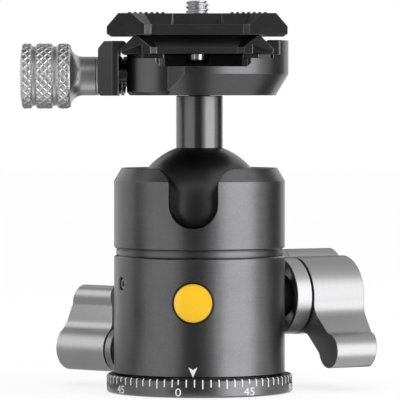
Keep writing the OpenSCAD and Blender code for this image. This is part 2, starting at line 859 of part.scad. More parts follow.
function spring_point(i, j, low, high) =
    let (turn = 360 * i / spring_steps, side = 360 * j / spring_sides,
         r = spring_hole_r - spring_wire_r - 0.1 + spring_wire_r * cos(side),
         z = low + (high - low) * i / (spring_steps * spring_turns) + spring_wire_r * sin(side))
    [r * cos(turn), r * sin(turn), z];

module jaw_spring() color([0.82, 0.82, 0.83]) {
    low = jaw_right - spring_hole_depth + spring_wire_r + running;
    high = clamp_left - spring_wire_r - running;
    rings = spring_steps * spring_turns;
    sideways(0, clamp_screw_z)
        polyhedron(
            points = [for (i = [0 : rings]) for (j = [0 : spring_sides - 1]) spring_point(i, j, low, high)],
            faces = concat(
                [[for (j = [0 : spring_sides - 1]) j]],
                [for (i = [0 : rings - 1]) for (j = [0 : spring_sides - 1])
                    [i * spring_sides + j, (i + 1) * spring_sides + j,
                     (i + 1) * spring_sides + (j + 1) % spring_sides, i * spring_sides + (j + 1) % spring_sides]],
                [[for (j = [spring_sides - 1 : -1 : 0]) rings * spring_sides + j]]
            )
        );
}

knob_face = jaw_left - 21.5;
knurl_end = jaw_left - 7.8;
fillet_end = jaw_left - 4.5;
clamp_collar_r = 5.3;
collar_left = jaw_left - 0.9;

module clamp_screw() color([0.72, 0.72, 0.73]) sideways(0, clamp_screw_z)
    drum(jaw_screw_r, knob_face + 5, clamp_left + jaw_screw_depth);

module clamp_collar() color([0.72, 0.72, 0.73]) sideways(0, clamp_screw_z)
    difference() {
        turned(clamp_collar_r, collar_left + running, jaw_left - running, 0.2, 0.2);
        drum(jaw_screw_r, collar_left - 1, jaw_left + 1);
    }

// Knob with three bands between grooves and a long concave neck
module clamp_knob() color([0.76, 0.76, 0.77]) sideways(0, clamp_screw_z)
    difference() {
        rotate_extrude()
            difference() {
                polygon([
                    [0, knob_face], [clamp_knob_r - 0.6, knob_face], [clamp_knob_r, knob_face + 0.6],
                    [clamp_knob_r, knob_face + 3], [clamp_knob_r - 1.1, knob_face + 3.4],
                    [clamp_knob_r - 1.1, knob_face + 4], [clamp_knob_r, knob_face + 4.4],
                    [clamp_knob_r, knob_face + 8.7], [clamp_knob_r - 1.1, knob_face + 9.2],
                    [clamp_knob_r - 1.1, knob_face + 9.8], [clamp_knob_r, knob_face + 10.3],
                    [clamp_knob_r, knurl_end - 0.5], [clamp_knob_r - 0.5, knurl_end],
                    [clamp_knob_r - 0.5, fillet_end], [clamp_collar_r, fillet_end],
                    [clamp_collar_r, collar_left], [0, collar_left]
                ]);
                translate([clamp_knob_r - 0.5, fillet_end])
                    scale([1, (fillet_end - knurl_end) / (clamp_knob_r - 0.5 - clamp_collar_r)])
                        circle(r = clamp_knob_r - 0.5 - clamp_collar_r);
            }
        drum(jaw_screw_r, knob_face + 5 - eps, jaw_left);
        drum(4, knob_face - 1, knob_face + 0.6);
    }

// ---- quick-release plate ----

head_r = 6.6;
head_top = plate_low + 0.9;
boss_r = 3.4;
boss_low = dovetail_low - 2.3;
rail_half_d = plate_d / 2 - 1.5;
notch_in = dovetail_half - 5.6;
notch_d = 5;
notch_top = dovetail_low + 2.5;
pad_h = 0.45;
pad_z = plate_top - 0.8;
pad_gap = 8.6;
pad_w = 10.4;
pad_d = 30;
rib_pitch = 1.5;

// A pocket in the plate's front or back edge between 45 degree facets: upright below, and
// deeper and wider towards the top
module edge_pocket(half_w, deep, low, flare_z, high) {
    flare = (high - flare_z) * 0.6;
    translate([0, 0, low - 1])
        linear_extrude(height = flare_z - low + 1.05)
            pocket_plan(half_w, deep);
    hull() {
        translate([0, 0, flare_z]) linear_extrude(height = eps) pocket_plan(half_w, deep);
        translate([0, 0, high]) linear_extrude(height = eps) pocket_plan(half_w + 2 * flare, deep + flare);
    }
}

module pocket_plan(half_w, deep) {
    polygon([[deep - half_w, deep], [half_w - deep, deep], [half_w + 1, -1], [-half_w - 1, -1]]);
}

// Notches at the four corners of the dovetail, under a slanted ceiling
module rail_notches() {
    far = dovetail_half + 2;
    drop = (far - notch_in) * 0.33;
    for (turn = [0, 180], side = [-1, 1])
        rotate([0, 0, turn])
            translate([0, notch_d - rail_half_d, 0])
                rotate([90, 0, 0])
                    linear_extrude(height = notch_d + 1)
                        polygon([
                            [side * notch_in, dovetail_low - 1], [side * notch_in, notch_top],
                            [side * far, notch_top - drop], [side * far, dovetail_low - 1]
                        ]);
}

module plate() color([0.1, 0.1, 0.105])
    translate([plate_x, 0, 0])
        difference() {
            union() {
                rotate([90, 0, 0])
                    linear_extrude(height = plate_d, center = true)
                        polygon([
                            [-plate_w / 2 + 0.2, plate_low], [plate_w / 2 - 0.2, plate_low],
                            [plate_w / 2, plate_low + 0.2], [plate_w / 2, plate_low + 2.1],
                            [plate_w / 2 - 3.1, plate_top], [-plate_w / 2 + 3.1, plate_top],
                            [-plate_w / 2, plate_low + 2.1], [-plate_w / 2, plate_low + 0.2]
                        ]);
                difference() {
                    rotate([90, 0, 0])
                        linear_extrude(height = 2 * rail_half_d, center = true)
                            polygon([
                                [-dovetail_half + 0.2, dovetail_low], [dovetail_half - 0.2, dovetail_low],
                                [dovetail_half, dovetail_low + 0.2], [dovetail_half, dovetail_flank],
                                [neck_half, plate_low], [neck_half, plate_low + 0.5],
                                [-neck_half, plate_low + 0.5], [-neck_half, plate_low],
                                [-dovetail_half, dovetail_flank], [-dovetail_half, dovetail_low + 0.2]
                            ]);
                    rail_notches();
                }
            }
            for (turn = [0, 180])
                rotate([0, 0, turn]) {
                    translate([0, -plate_d / 2, 0])
                        edge_pocket(14.1, 1.7, plate_low, plate_low + 2.7, plate_top + 0.02);
                    translate([0, -rail_half_d, 0])
                        edge_pocket(12.6, 1.7, dovetail_low, dovetail_low + 1.8, plate_low);
                    translate([0, -plate_d / 2, plate_low + 2.7])
                        linear_extrude(height = plate_h)
                            polygon([[-6.6, 3.6], [6.6, 3.6], [7.5, -1], [-7.5, -1]]);
                }
            drum(head_r + 0.1, dovetail_low - 1, head_top);
            drum(camera_thread_r + 0.15, head_top - 1, plate_top + 1);
            for (side = [-1, 1])
                translate([side * (pad_gap + pad_w / 2 + 0.1), 0, pad_z])
                    linear_extrude(height = 5) square([pad_w, pad_d], center = true);
        }

module grip_pads() color([0.08, 0.08, 0.08])
    for (side = [-1, 1])
        translate([plate_x + side * (pad_gap + pad_w / 2 + 0.1), 0, pad_z])
            rotate([90, 0, 0])
                linear_extrude(height = pad_d - 0.1, center = true)
                    union() {
                        translate([-pad_w / 2 + 0.05, 0]) square([pad_w - 0.1, plate_top - pad_z]);
                        for (x = [-pad_w / 2 + rib_pitch / 2 : rib_pitch : pad_w / 2 - 0.6])
                            translate([x - 0.35, 0]) square([0.7, plate_top - pad_z + pad_h]);
                    }

module camera_screw() color([0.8, 0.8, 0.8])
    translate([plate_x, 0, 0])
        difference() {
            union() {
                turned(head_r, dovetail_low + 1.6, head_top - running, 0.3, 0.3);
                turned(boss_r, boss_low, dovetail_low + 2, 0.5, 0);
                // relieved shank in the plate, then the thread
                drum(camera_thread_r - 0.6, head_top - 0.2, plate_top + 0.3);
                turned(camera_thread_r, plate_top + 0.1, plate_top + camera_thread_h, 0.3, 0.5);
            }
            translate([-0.6, -10, boss_low - 1]) cube([1.2, 20, 2.2]);
        }

module screw_clip() color([0.4, 0.4, 0.4])
    translate([plate_x, 0, 0])
        difference() {
            drum(head_r + 0.08, dovetail_low + 0.7, dovetail_low + 1.5);
            drum(boss_r + running, dovetail_low - 1, dovetail_low + 3);
        }

base_plate();
tripod_bush();
spindle();
base_screws();
glide_ring();
retaining_plate();
retaining_screws();
lower_housing();
trim_ring();
upper_housing();
badge_ring();
badge();
guide_screw();
wedge_track();
lock_bush();
pan_bush();
lock_wedge();
lift_block();
ball_cup();
lock_screw();
lock_collar();
lock_knob();
pan_shoe();
pan_screw();
pan_collar();
pan_knob();
ball();
stem();
clamp_base();
clamp_bolt();
clamp_jaw();
jaw_pins();
jaw_spring();
clamp_screw();
clamp_collar();
clamp_knob();
plate();
grip_pads();
camera_screw();
screw_clip();
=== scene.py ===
import bpy, bmesh, math
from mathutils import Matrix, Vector


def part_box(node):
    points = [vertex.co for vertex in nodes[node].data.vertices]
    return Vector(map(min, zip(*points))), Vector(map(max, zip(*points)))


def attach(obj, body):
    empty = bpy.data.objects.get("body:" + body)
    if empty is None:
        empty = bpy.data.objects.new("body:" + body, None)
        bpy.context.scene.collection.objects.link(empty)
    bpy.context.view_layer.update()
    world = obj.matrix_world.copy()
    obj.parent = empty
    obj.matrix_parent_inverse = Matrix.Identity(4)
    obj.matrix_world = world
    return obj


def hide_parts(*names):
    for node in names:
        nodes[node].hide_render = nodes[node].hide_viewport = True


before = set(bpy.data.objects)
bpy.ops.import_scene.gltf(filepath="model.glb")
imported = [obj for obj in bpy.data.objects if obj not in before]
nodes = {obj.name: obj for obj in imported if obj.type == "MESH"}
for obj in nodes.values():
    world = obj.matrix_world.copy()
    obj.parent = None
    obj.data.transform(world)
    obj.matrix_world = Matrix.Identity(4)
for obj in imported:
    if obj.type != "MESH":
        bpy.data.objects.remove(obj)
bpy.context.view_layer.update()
mm = 0.001
upAxis = Vector((0, 0, 1))
leftAxis = Vector((-1, 0, 0))
print("frame loaded:", len(nodes), "nodes")


def centreOf(node):
    low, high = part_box(node)
    return (low + high) / 2


def axisFrame(axis):
    # two directions across an axis
    side = axis.cross(upAxis)
    side = side.normalized() if side.length > 0.1 else Vector((1, 0, 0))
    return side, axis.cross(side).normalized()


def pieceFrom(name, verts, faces, material, body, smooth=True):
    mesh = bpy.data.meshes.new(name)
    mesh.from_pydata(verts, [], faces)
    mesh.validate()
    bm = bmesh.new()
    bm.from_mesh(mesh)
    bmesh.ops.recalc_face_normals(bm, faces=bm.faces)
    bm.to_mesh(mesh)
    bm.free()
    for face in mesh.polygons:
        face.use_smooth = smooth
    piece = bpy.data.objects.new(name, mesh)
    bpy.context.scene.collection.objects.link(piece)
    mesh.materials.append(material)
    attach(piece, body)
    return piece


def sharpen(piece, degrees):
    # keeps crisp edges crisp on a smooth-shaded piece
    bm = bmesh.new()
    bm.from_mesh(piece.data)
    for edge in bm.edges:
        if len(edge.link_faces) == 2 and edge.calc_face_angle(0) > math.radians(degrees):
            edge.smooth = False
    bm.to_mesh(piece.data)
    bm.free()


def turnedPiece(profile, origin, axis, segments, height=None):
    # sweeps (along, radius) points round an axis; height(along, radius, angle) moves a point outwards
    across, over = axisFrame(axis)
    verts, faces = [], []
    for along, radius in profile:
        for i in range(segments):
            angle = 2 * math.pi * i / segments
            r = radius + (height(along, radius, angle) if height else 0)
            verts.append(origin + axis * along + (across * math.cos(angle) + over * math.sin(angle)) * r)
    for row in range(len(profile) - 1):
        here, there = row * segments, (row + 1) * segments
        for i in range(segments):
            j = (i + 1) % segments
            faces.append((here + i, here + j, there + j, there + i))
    return verts, faces


def closeEnds(verts, faces, segments, rows, startPoint, endPoint):
    verts += [startPoint, endPoint]
    first, last = len(verts) - 2, len(verts) - 1
    for i in range(segments):
        j = (i + 1) % segments
        faces.append((first, j, i))
        faces.append((last, (rows - 1) * segments + i, (rows - 1) * segments + j))


# what all the finishes share
finish = {
    "ior": 1.5,
    "grainShare": 0.7,                                      # the rest of the colour is broad mottling
    "noiseMiddle": (0.3, 0.7),                              # a noise rarely leaves this range
    "coatRough": 0.06,
    "leastRadius": 0.05 * mm,                               # tool marks on an axis would divide by nothing
    "markSlant": 1.37,                                      # keeps marks on sides and end faces apart
    "edgeWearAndHighlightTint": (0.62, 0.62, 0.63, 1),
    "edgeWearAndHighlightMost": 0.6,
    "bevelSamples": 6,
}


def startMaterial(name):
    material = bpy.data.materials.new(name)
    material.use_nodes = True
    tree = material.node_tree
    return material, tree, tree.nodes["Principled BSDF"]


def mathNode(tree, operation, *values):
    node = tree.nodes.new("ShaderNodeMath")
    node.operation = operation
    for socket, value in zip(node.inputs, values):
        if isinstance(value, (int, float)):
            socket.default_value = value
        else:
            tree.links.new(value, socket)
    return node.outputs[0]


def vectorNode(tree, operation, *values):
    node = tree.nodes.new("ShaderNodeVectorMath")
    node.operation = operation
    for socket, value in zip(node.inputs, values):
        if isinstance(value, (tuple, Vector)):
            socket.default_value = tuple(value)
        else:
            tree.links.new(value, socket)
    return node.outputs["Value" if operation == "DOT_PRODUCT" else "Vector"]


def objectPlace(tree):
    return tree.nodes.new("ShaderNodeTexCoord").outputs["Object"]


def latheCoords(tree, origin, axis, fine, around):
    # runs fast along the profile and slowly round the axis, as tool marks do
    across, over = axisFrame(axis)
    place = vectorNode(tree, "SUBTRACT", objectPlace(tree), origin)
    u = vectorNode(tree, "DOT_PRODUCT", place, across)
    v = vectorNode(tree, "DOT_PRODUCT", place, over)
    w = vectorNode(tree, "DOT_PRODUCT", place, axis)
    squares = mathNode(tree, "ADD", mathNode(tree, "MULTIPLY", u, u), mathNode(tree, "MULTIPLY", v, v))
    radius = mathNode(tree, "MAXIMUM", mathNode(tree, "SQRT", squares), finish["leastRadius"])
    run = mathNode(tree, "ADD", radius, mathNode(tree, "MULTIPLY", w, finish["markSlant"]))
    join = tree.nodes.new("ShaderNodeCombineXYZ")
    tree.links.new(mathNode(tree, "MULTIPLY", run, fine), join.inputs[0])
    tree.links.new(mathNode(tree, "MULTIPLY", mathNode(tree, "DIVIDE", u, radius), around), join.inputs[1])
    tree.links.new(mathNode(tree, "MULTIPLY", mathNode(tree, "DIVIDE", v, radius), around), join.inputs[2])
    return join.outputs[0]


def noiseOf(tree, vector, scale, detail=3.0, rough=0.55):
    noise = tree.nodes.new("ShaderNodeTexNoise")
    noise.inputs["Scale"].default_value = scale
    noise.inputs["Detail"].default_value = detail
    noise.inputs["Roughness"].default_value = rough
    tree.links.new(vector, noise.inputs["Vector"])
    return noise.outputs["Fac"]


def spread(tree, value, low, high):
    # maps the middle of a noise to a range
    node = tree.nodes.new("ShaderNodeMapRange")
    node.inputs["From Min"].default_value = finish["noiseMiddle"][0]
    node.inputs["From Max"].default_value = finish["noiseMiddle"][1]
    node.inputs["To Min"].default_value = low
    node.inputs["To Max"].default_value = high
    tree.links.new(value, node.inputs["Value"])
    return node.outputs["Result"]


def tint(tree, value, dark, light):
    ramp = tree.nodes.new("ShaderNodeValToRGB")
    for element, place, colour in zip(ramp.color_ramp.elements, finish["noiseMiddle"], (dark, light)):
        element.position = place
        element.color = (*colour, 1)
    tree.links.new(value, ramp.inputs["Fac"])
    return ramp.outputs["Color"]


def wornAndHighlitEdges(tree, edge, colour, share):
    # a softened normal that leaves the true one marks an edge, lightened both as wear where the coating is
    # thinner and as a painted highlight along the edge
    bevel = tree.nodes.new("ShaderNodeBevel")
    bevel.samples = finish["bevelSamples"]
    bevel.inputs["Radius"].default_value = edge
    true = tree.nodes.new("ShaderNodeNewGeometry").outputs["Normal"]
    turn = vectorNode(tree, "DOT_PRODUCT", bevel.outputs[0], true)
    mark = mathNode(tree, "MULTIPLY", mathNode(tree, "SUBTRACT", 1.0, turn), share)
    mix = tree.nodes.new("ShaderNodeMixRGB")
    tree.links.new(mathNode(tree, "MINIMUM", mark, finish["edgeWearAndHighlightMost"]), mix.inputs[0])
    tree.links.new(colour, mix.inputs[1])
    mix.inputs[2].default_value = finish["edgeWearAndHighlightTint"]
    return mix.outputs[0], bevel.outputs[0]


def finishFrom(name, look, marks=None):
    # colour, roughness and bump of one finish; marks are tool marks, or else plain grain
    material, tree, shader = startMaterial(name)
    shader.inputs["Metallic"].default_value = look["metal"]
    shader.inputs["IOR"].default_value = finish["ior"]
    cloud =noiseOf(tree, objectPlace(tree), look["cloud"])
    grain = noiseOf(tree, objectPlace(tree), look["grain"], 2.0)
    if marks:
        lines = noiseOf(tree, latheCoords(tree, *marks, look["fine"], look["around"]), 1.0, 4.0, 0.6)
        share = look["lines"]
        surface = mathNode(tree, "ADD", mathNode(tree, "MULTIPLY", lines, share),
                           mathNode(tree, "MULTIPLY", grain, 1 - share))
    else:
        surface = grain
    both = mathNode(tree, "ADD", mathNode(tree, "MULTIPLY", surface, finish["grainShare"]),
                    mathNode(tree, "MULTIPLY", cloud, 1 - finish["grainShare"]))
    colour = tint(tree, both, look["dark"], look["light"])
    bump = tree.nodes.new("ShaderNodeBump")
    bump.inputs["Strength"].default_value = look["bump"]
    bump.inputs["Distance"].default_value = look["depth"]
    tree.links.new(surface, bump.inputs["Height"])
    if look["edge"]:
        colour, softNormal = wornAndHighlitEdges(tree, look["edge"], colour, look.get("wearAndHighlight", 0.0))
        tree.links.new(softNormal, bump.inputs["Normal"])
    if look.get("coat"):
        shader.inputs["Coat Weight"].default_value = look["coat"]
        shader.inputs["Coat Roughness"].default_value = finish["coatRough"]
    tree.links.new(colour, shader.inputs["Base Color"])
    tree.links.new(spread(tree, both, *look["rough"]), shader.inputs["Roughness"])
    tree.links.new(bump.outputs[0], shader.inputs["Normal"])
    return material


def dress(material, *names):
    for name in names:
        mesh = nodes[name].data
        mesh.materials.clear()
        mesh.materials.append(material)
        dressed.add(name)


dressed = set()
lockDirection = Vector((0.859852, 0.510543, 0))
panDirection = Vector((-0.773840, 0.633381, 0))
lockPoint = Vector((0, 0, centreOf("lock_collar").z))
panPoint = Vector((0, 0, centreOf("pan_collar").z))
clampPoint = Vector((0, 0, centreOf("clamp_screw").z))
mainAxis = (Vector((0, 0, 0)), upAxis)

# charcoal anodised housing: bead-blasted, with the turning just showing through
housing = dict(metal=1.0, dark=(0.092, 0.092, 0.095), light=(0.150, 0.150, 0.153), rough=(0.27, 0.38),
               fine=3600, around=2.2, lines=0.35, grain=3000, cloud=110, bump=0.30, depth=0.00002,
               edge=0.0002, wearAndHighlight=0.4)
housingMetal = finishFrom("housingCharcoal", housing, mainAxis)
dress(housingMetal, "base_plate", "lower_housing", "upper_housing")

band = dict(housing, dark=(0.100, 0.100, 0.103), light=(0.130, 0.130, 0.133), lines=0.6, edge=0.00012)
dress(finishFrom("bandCharcoal", band, mainAxis), "trim_ring")

ball = dict(metal=1.0, dark=(0.060, 0.060, 0.062), light=(0.082, 0.082, 0.085), rough=(0.28, 0.36),
            fine=4000, around=1.0, lines=0.4, grain=6000, cloud=80, bump=0.06, depth=0.00001, edge=0.0)
dress(finishFrom("ballSatinBlack", ball, mainAxis), "ball")

stem = dict(metal=1.0, dark=(0.115, 0.115, 0.117), light=(0.145, 0.145, 0.147), rough=(0.20, 0.28),
            fine=6000, around=1.0, lines=0.4, grain=6000, cloud=60, bump=0.08, depth=0.00001,
            edge=0.0001, wearAndHighlight=0.3)
dress(finishFrom("stemSatin", stem, mainAxis), "stem")

# its edges are lightened strongly: worn anodising and a painted highlight along the corners
clamp = dict(metal=1.0, dark=(0.088, 0.088, 0.091), light=(0.118, 0.118, 0.121), rough=(0.26, 0.36),
             grain=6500, cloud=90, bump=0.14, depth=0.00002, edge=0.00025, wearAndHighlight=0.9)
dress(finishFrom("clampSatinBlack", clamp), "clamp_base", "clamp_jaw", "plate")

silver = dict(metal=1.0, dark=(0.30, 0.30, 0.304), light=(0.36, 0.36, 0.364), rough=(0.36, 0.46),
              fine=3600, around=1.3, lines=0.6, grain=6000, cloud=70, bump=0.08, depth=0.00002,
              edge=0.0003, wearAndHighlight=0.4)
dress(finishFrom("lockKnobSatin", silver, (lockPoint, lockDirection)), "lock_knob")
# the pan knob is the same silver as the lock knob, given a much lighter copy: painted light on the knob that
# sits on the dim side
panSilverPaintedLight = dict(silver, dark=(0.54, 0.54, 0.545), light=(0.64, 0.64, 0.645), rough=(0.34, 0.42))
dress(finishFrom("panKnobPaintedLight", panSilverPaintedLight, (panPoint, panDirection)), "pan_knob")

# the collars are turned, the clamp's knob is brighter
collarSilver = dict(silver, dark=(0.31, 0.31, 0.314), light=(0.39, 0.39, 0.394), rough=(0.34, 0.44),
                    edge=0.00015)
dress(finishFrom("lockCollarTurned", collarSilver, (lockPoint, lockDirection)), "lock_collar")
dress(finishFrom("panCollarTurned", collarSilver, (panPoint, panDirection)), "pan_collar")

turnedSilver = dict(collarSilver, dark=(0.50, 0.50, 0.504), light=(0.62, 0.62, 0.624))
clampSilver = finishFrom("clampKnobTurned", turnedSilver, (clampPoint, leftAxis))
dress(clampSilver, "clamp_collar", "clamp_knob")

steel = dict(metal=1.0, dark=(0.42, 0.42, 0.43), light=(0.56, 0.56, 0.57), rough=(0.24, 0.34),
             grain=7000, cloud=150, bump=0.08, depth=0.00001, edge=0.00015, wearAndHighlight=0.2)
dress(finishFrom("steelTurned", steel), "tripod_bush", "spindle", "retaining_plate", "wedge_track",
      "lock_wedge", "lock_screw", "pan_screw", "clamp_screw", "jaw_spring", "screw_clip", "guide_screw")

blackSteel = dict(steel, dark=(0.06, 0.06, 0.062), light=(0.10, 0.10, 0.102), rough=(0.28, 0.38), wearAndHighlight=0.6)
dress(finishFrom("steelBlackened", blackSteel), "base_screws", "retaining_screws", "clamp_bolt", "jaw_pins")

bronze = dict(steel, dark=(0.50, 0.38, 0.20), light=(0.62, 0.48, 0.27), rough=(0.3, 0.4))
dress(finishFrom("bronzeBlock", bronze), "lift_block")

chrome = dict(metal=1.0, dark=(0.60, 0.60, 0.61), light=(0.70, 0.70, 0.71), rough=(0.32, 0.42),
              grain=5000, cloud=100, bump=0.03, depth=0.00001, edge=0.00012)
chromeMetal = finishFrom("screwChrome", chrome)
dress(chromeMetal, "camera_screw")
# the head is the same chrome as the thread, made much lighter: painted light on a head that sits in the
# recess's shade
headChromePaintedLight = dict(chrome, dark=(0.92, 0.92, 0.92), light=(0.97, 0.97, 0.97), rough=(0.16, 0.24))
headMetalPaintedLight = finishFrom("screwHeadPaintedLight", headChromePaintedLight)

slide = dict(metal=0.0, dark=(0.70, 0.69, 0.64), light=(0.78, 0.77, 0.73), rough=(0.42, 0.52),
             grain=6000, cloud=80, bump=0.08, depth=0.00002, edge=0.0002)
dress(finishFrom("slidePlastic", slide), "glide_ring", "ball_cup", "pan_shoe")

bush = dict(metal=0.0, dark=(0.010, 0.010, 0.010), light=(0.018, 0.018, 0.018), rough=(0.20, 0.30), coat=0.4,
            grain=6000, cloud=90, bump=0.06, depth=0.00001, edge=0.0003)
dress(finishFrom("bushPlastic", bush), "lock_bush", "pan_bush")

bezel = dict(bush, rough=(0.3, 0.4), coat=0.0, edge=0.0001)
dress(finishFrom("badgeBezel", bezel), "badge_ring")

enamel = dict(metal=0.0, dark=(0.90, 0.50, 0.010), light=(0.95, 0.57, 0.018), rough=(0.16, 0.24), coat=0.7,
              grain=1500, cloud=140, bump=0.02, depth=0.00001, edge=0.0)
dress(finishFrom("badgeEnamel", enamel), "badge")

pad = dict(metal=0.0, dark=(0.014, 0.014, 0.014), light=(0.026, 0.026, 0.026), rough=(0.60, 0.78),
           grain=5000, cloud=120, bump=0.35, depth=0.00004, edge=0.00015)
dress(finishFrom("padRubber", pad), "grip_pads")

paint = dict(metal=0.0, dark=(0.76, 0.76, 0.75), light=(0.82, 0.82, 0.81), rough=(0.45, 0.6),
             grain=9000, cloud=200, bump=0.1, depth=0.00001, edge=0.0)
markPaint = finishFrom("markPaint", paint)
print("finishes on", len(dressed), "of", len(nodes), "nodes")


# clamp knob, knurled in three bands; places along it are in mm from the stem's axis
knob = {
    "radius": 8.95 * mm,
    "face": 49.0,
    "coneWidth": 3.0 * mm,                                  # the face's outer part slopes back
    "coneDepth": 0.45,
    "rimDrop": 0.4 * mm,
    "bands": [(48.4, 46.05), (44.55, 40.35), (38.65, 35.75)],
    "bandStep": 0.16,
    "groove": (0.4, 1.05),                                  # its floor, past the end of a band
    "grooveDepth": 0.85 * mm,
    "knurlCount": 24,                                       # diamonds round the knob
    "knurlRise": 0.47,                                      # turns of a diamond for each millimetre along
    "knurlDepth": 0.30 * mm,
    "knurlWidth": 0.34,                                     # share of a diamond that is ridge
    "knurlFade": 0.2,
    "segments": 384,
    "shoulder": 0.45,                                       # from the last band to the neck
    "shoulderDrop": 0.5 * mm,
    "neckRadius": 5.3 * mm,
    "neckEnd": 32.0,
    "neckSteps": 12,
    "inner": 28.4,
    "dishRadius": 4.0 * mm,
    "dishDepth": 0.6,
    "dishRound": 0.1 * mm,
}


def knobProfile():
    r, neck, face = knob["radius"], knob["neckRadius"], knob["face"]
    low, dish, floor = r - knob["grooveDepth"], knob["dishRadius"], face - knob["dishDepth"]
    points = [(floor, dish - knob["dishRound"]), (floor, dish), (face, dish),
              (face, r - knob["coneWidth"]), (face - knob["coneDepth"], r - knob["rimDrop"])]
    for start, end in knob["bands"]:
        steps = max(8, int((start - end) / knob["bandStep"]))
        points += [(start + (end - start) * i / steps, r) for i in range(steps + 1)]
        if end != knob["bands"][-1][1]:
            points += [(end - past, low) for past in knob["groove"]]
    neckStart, neckEnd = knob["bands"][-1][1] - knob["shoulder"], knob["neckEnd"]
    neckTop = r - knob["shoulderDrop"]
    points.append((neckStart, neckTop))
    for i in range(1, knob["neckSteps"] + 1):               # concave neck, a quarter ellipse
        turn = math.pi / 2 * i / knob["neckSteps"]
        along = neckEnd + (neckStart - neckEnd) * math.cos(turn)
        points.append((along, neck + (neckTop - neck) * (1 - math.sin(turn))))
    points.append((knob["inner"], neck))
    return [(along * mm, radius) for along, radius in points]


def knurlHeight(along, radius, angle):
    if radius < knob["radius"] - 0.1 * mm:                  # grooves, neck and face are plain
        return 0
    place, half = along / mm, knob["knurlWidth"] / 2
    for start, end in knob["bands"]:
        if end <= place <= start:
            turns = angle / (2 * math.pi) * knob["knurlCount"]
            ridge = 0
            for sign in (-1, 1):
                off = abs((turns + sign * place * knob["knurlRise"]) % 1 - 0.5)
                ridge = max(ridge, 1 - off / half)
            fade = knob["knurlFade"]
            edge = max(0, min(1, (start - place) / fade, (place - end) / fade))
            return -knob["knurlDepth"] * (1 - ridge * edge)
    return 0


def makeClampKnob():
    profile = knobProfile()
    verts, faces = turnedPiece(profile, clampPoint, leftAxis, knob["segments"], knurlHeight)
    closeEnds(verts, faces, knob["segments"], len(profile), clampPoint + leftAxis * profile[0][0],
              clampPoint + leftAxis * profile[-1][0])
    piece = pieceFrom("clampKnobKnurled", verts, faces, clampSilver, "clamp_knob")
    sharpen(piece, 38)
    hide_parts("clamp_knob")
    print("clamp knob made:", len(verts), "points")


makeClampKnob()


# camera screw with a cut thread, a flat head under the plate and a coin slot
cameraScrew = {
    "radius": 3.175 * mm,
    "pitch": 1.27 * mm,
    "threadDepth": 0.62 * mm,
    "crest": 1.15,                                          # over 1 leaves the crests flat
    "firstTurn": 0.1 * mm,                                  # where the thread starts above the plate
    "shankInset": 0.6 * mm,
    "tipChamfer": 0.5 * mm,
    "fade": (0.3 * mm, 0.4 * mm),                           # the thread runs out below and at the tip
    "segments": 96,
    "rows": 60,
    "headRadius": 6.6 * mm,
    "headEdge": 0.3 * mm,
    "headUnder": 4.85 * mm,                                 # top of the head below the plate's top
    "bossRadius": 3.25 * mm,
    "bossHeight": 3.9 * mm,
    "bossEdge": (0.85 * mm, 0.95 * mm),                     # across and up
    "bossSteps": 6,
    "slotHalf": 0.6 * mm,
    "slotDeep": 0.5 * mm,
}


def makeCameraScrew():
    low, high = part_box("camera_screw")
    centre = centreOf("camera_screw")
    origin = Vector((centre.x, centre.y, 0))
    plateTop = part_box("plate")[1].z
    headTop, bossTop = plateTop - cameraScrew["headUnder"], low.z + cameraScrew["bossHeight"]
    r, pitch, top = cameraScrew["radius"], cameraScrew["pitch"], high.z
    start = plateTop + cameraScrew["firstTurn"]
    rows, segments = cameraScrew["rows"], cameraScrew["segments"]
    fadeIn, fadeOut = cameraScrew["fade"]

    def threadHeight(along, radius, angle):
        if along < start or along > top - 0.05 * mm:
            return 0
        phase = (along / pitch - angle / (2 * math.pi)) % 1
        crest = min(1, (1 - abs(phase - 0.5) * 2) * cameraScrew["crest"])
        fade = min(1, max(0, (along - start) / fadeIn), max(0, (top - along) / fadeOut))
        return -cameraScrew["threadDepth"] * (1 - crest) * fade

    shank = r - cameraScrew["shankInset"]
    profile = [(headTop, shank), (plateTop, shank)]
    for i in range(rows + 1):
        z = start + (top - start) * i / rows
        profile.append((z, r - max(0, z - (top - cameraScrew["tipChamfer"]))))
    verts, faces = turnedPiece(profile, origin, upAxis, segments, threadHeight)
    closeEnds(verts, faces, segments, len(profile), origin + upAxis * headTop, origin + upAxis * top)
    stud = pieceFrom("cameraThread", verts, faces, chromeMetal, "camera_screw")
    sharpen(stud, 40)
    head, boss, edge = cameraScrew["headRadius"], cameraScrew["bossRadius"], cameraScrew["headEdge"]
    (inset, rise), steps = cameraScrew["bossEdge"], cameraScrew["bossSteps"]
    rings = [(low.z, boss - inset)]
    for i in range(1, steps + 1):                           # rounded lower edge of the boss
        turn = math.pi / 2 * i / steps
        rings.append((low.z + rise * (1 - math.cos(turn)), boss - inset * (1 - math.sin(turn))))
    rings += [(bossTop, boss), (bossTop, head - edge),
             (bossTop + edge, head), (headTop - edge, head), (headTop, head - edge)]
    verts, faces = turnedPiece(rings, origin, upAxis, segments)
    closeEnds(verts, faces, segments, len(rings), origin + upAxis * low.z, origin + upAxis * headTop)
    headPiece = pieceFrom("cameraScrewHead", verts, faces, headMetalPaintedLight, "camera_screw")
    sharpen(headPiece, 25)
    cutSlot(headPiece, origin, low.z)
    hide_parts("camera_screw")


